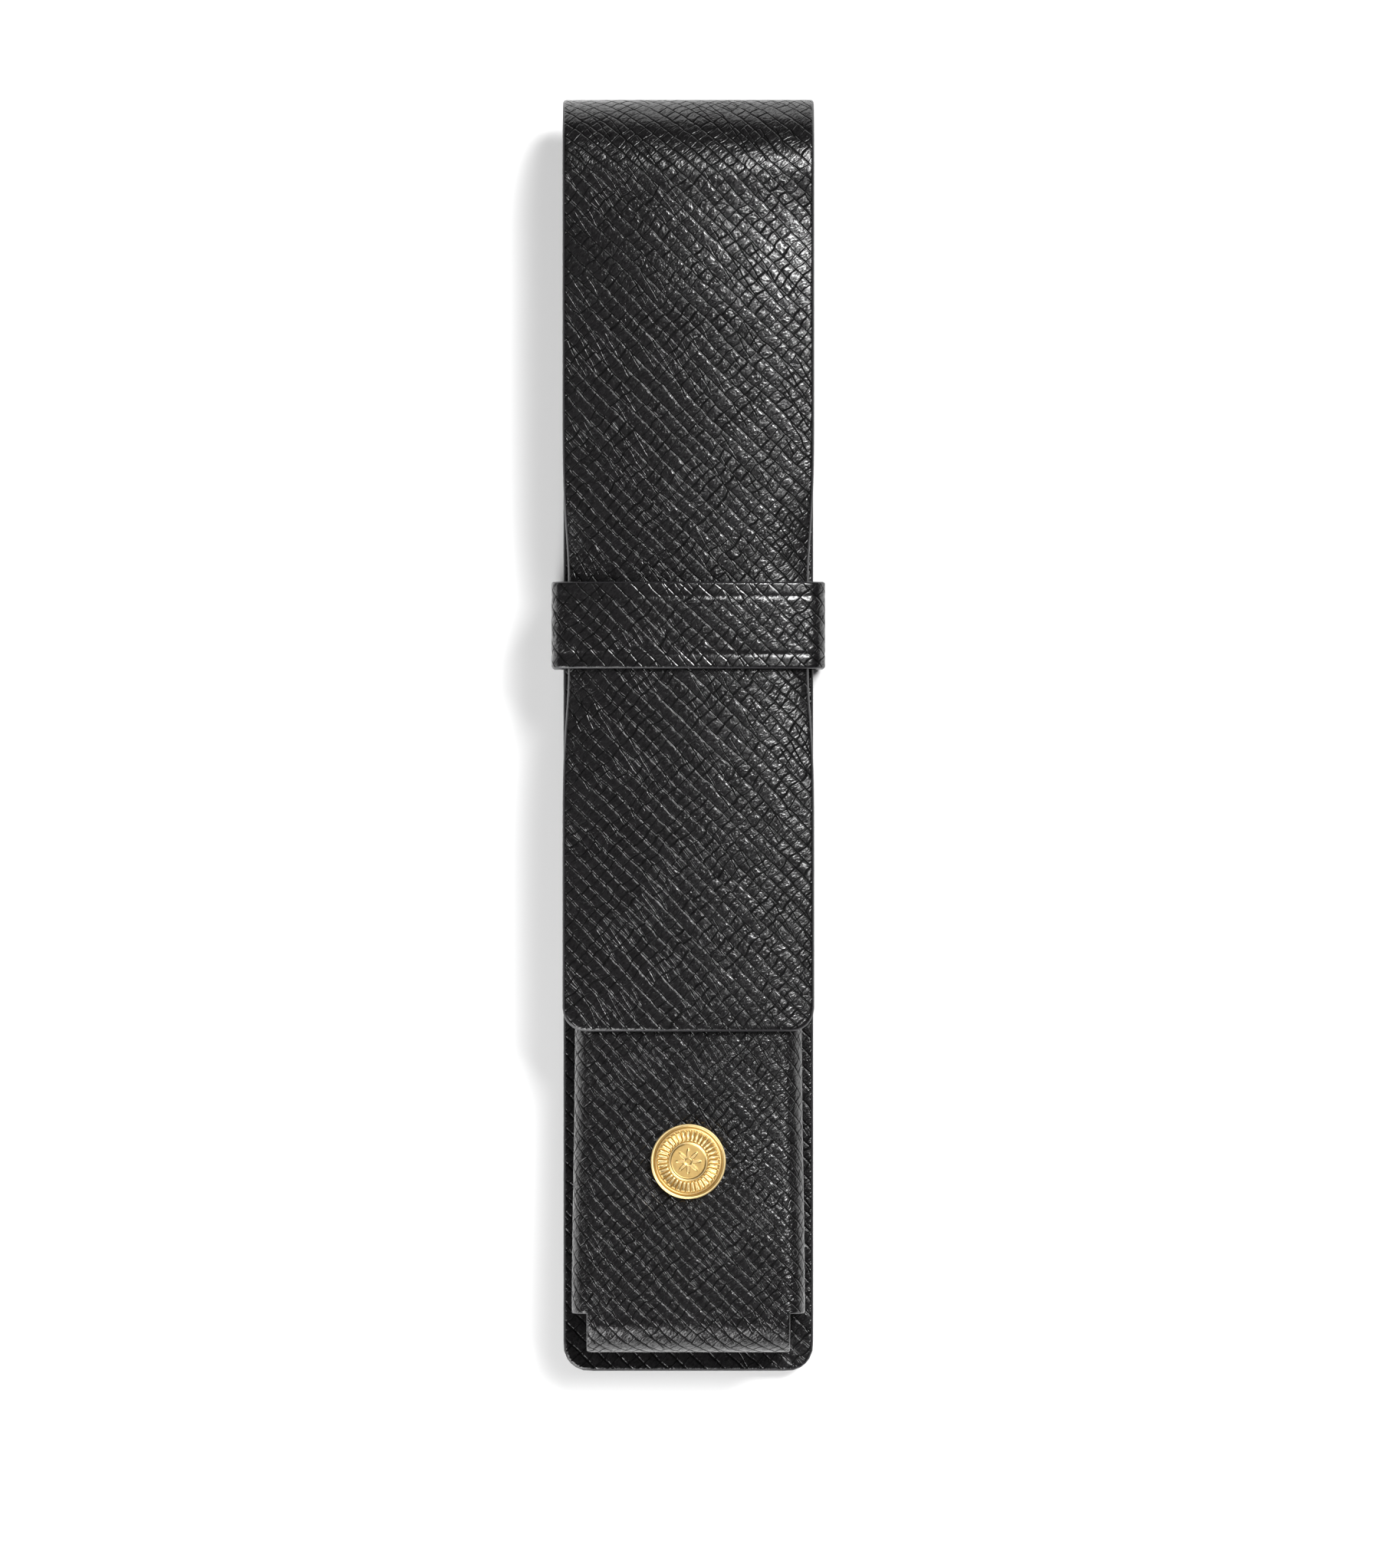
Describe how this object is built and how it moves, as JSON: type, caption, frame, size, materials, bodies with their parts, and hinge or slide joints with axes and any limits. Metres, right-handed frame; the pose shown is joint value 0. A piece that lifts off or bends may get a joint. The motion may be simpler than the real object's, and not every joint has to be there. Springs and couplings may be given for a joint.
{
  "type": "fountain pen case",
  "caption": "Slim grained-leather case for a fountain pen, with a fold-over flap, a sliding keeper band, a box pocket and a round gilt stud.",
  "frame": {"origin": "under the middle of the closed case, level with the underside of the keeper band, which the case rests on", "axes": "+X across the case, +Y along it towards the fold, +Z out of the front, which carries the flap and the stud"},
  "size_m": [0.0354, 0.165, 0.0241],
  "materials": {
    "grained_leather": "black cross-grained calf leather, semi-matt, edges painted",
    "lining": "black suede split, matt",
    "board": "grey stiffening board",
    "gilt": "stamped brass, gilt and polished",
    "rivet_steel": "nickelled steel"
  },
  "bodies": {
    "back": {"back_leather": "grained_leather", "back_board": "board", "back_lining": "grained_leather", "pocket_leather": "grained_leather", "pocket_lining": "lining", "stud_cup": "gilt", "stud_face": "gilt", "stud_rivet": "rivet_steel", "stud_washer": "rivet_steel"},
    "fold_1": {"fold_leather_1": "grained_leather", "fold_lining_1": "lining"},
    "fold_2": {"fold_leather_2": "grained_leather", "fold_lining_2": "lining"},
    "fold_3": {"fold_leather_3": "grained_leather", "fold_lining_3": "lining"},
    "flap": {"flap_leather": "grained_leather", "flap_lining": "lining"},
    "band": {"band_leather": "grained_leather", "band_lining": "lining"}
  },
  "joints": [
    {"name": "fold_hinge_1", "type": "hinge", "parent": "back", "child": "fold_1", "pos_m": [0, 0.07599, 0.0023], "axis": [-1, 0, 0], "range_deg": [0, 40]},
    {"name": "fold_hinge_2", "type": "hinge", "parent": "fold_1", "child": "fold_2", "pos_m": [0, 0.0817, 0.00801], "axis": [-1, 0, 0], "range_deg": [0, 40]},
    {"name": "fold_hinge_3", "type": "hinge", "parent": "fold_2", "child": "fold_3", "pos_m": [0, 0.0817, 0.01609], "axis": [-1, 0, 0], "range_deg": [0, 40]},
    {"name": "flap_hinge", "type": "hinge", "parent": "fold_3", "child": "flap", "pos_m": [0, 0.07599, 0.0218], "axis": [-1, 0, 0], "range_deg": [0, 40]},
    {"name": "band_slide", "type": "slide", "parent": "back", "child": "band", "axis": [0, 1, 0], "range_m": [-0.08, 0.045]}
  ],
  "couplings": [
    {"joint": "fold_hinge_1", "follows": "flap_hinge", "ratio": 1},
    {"joint": "fold_hinge_2", "follows": "flap_hinge", "ratio": 1},
    {"joint": "fold_hinge_3", "follows": "flap_hinge", "ratio": 1}
  ]
}
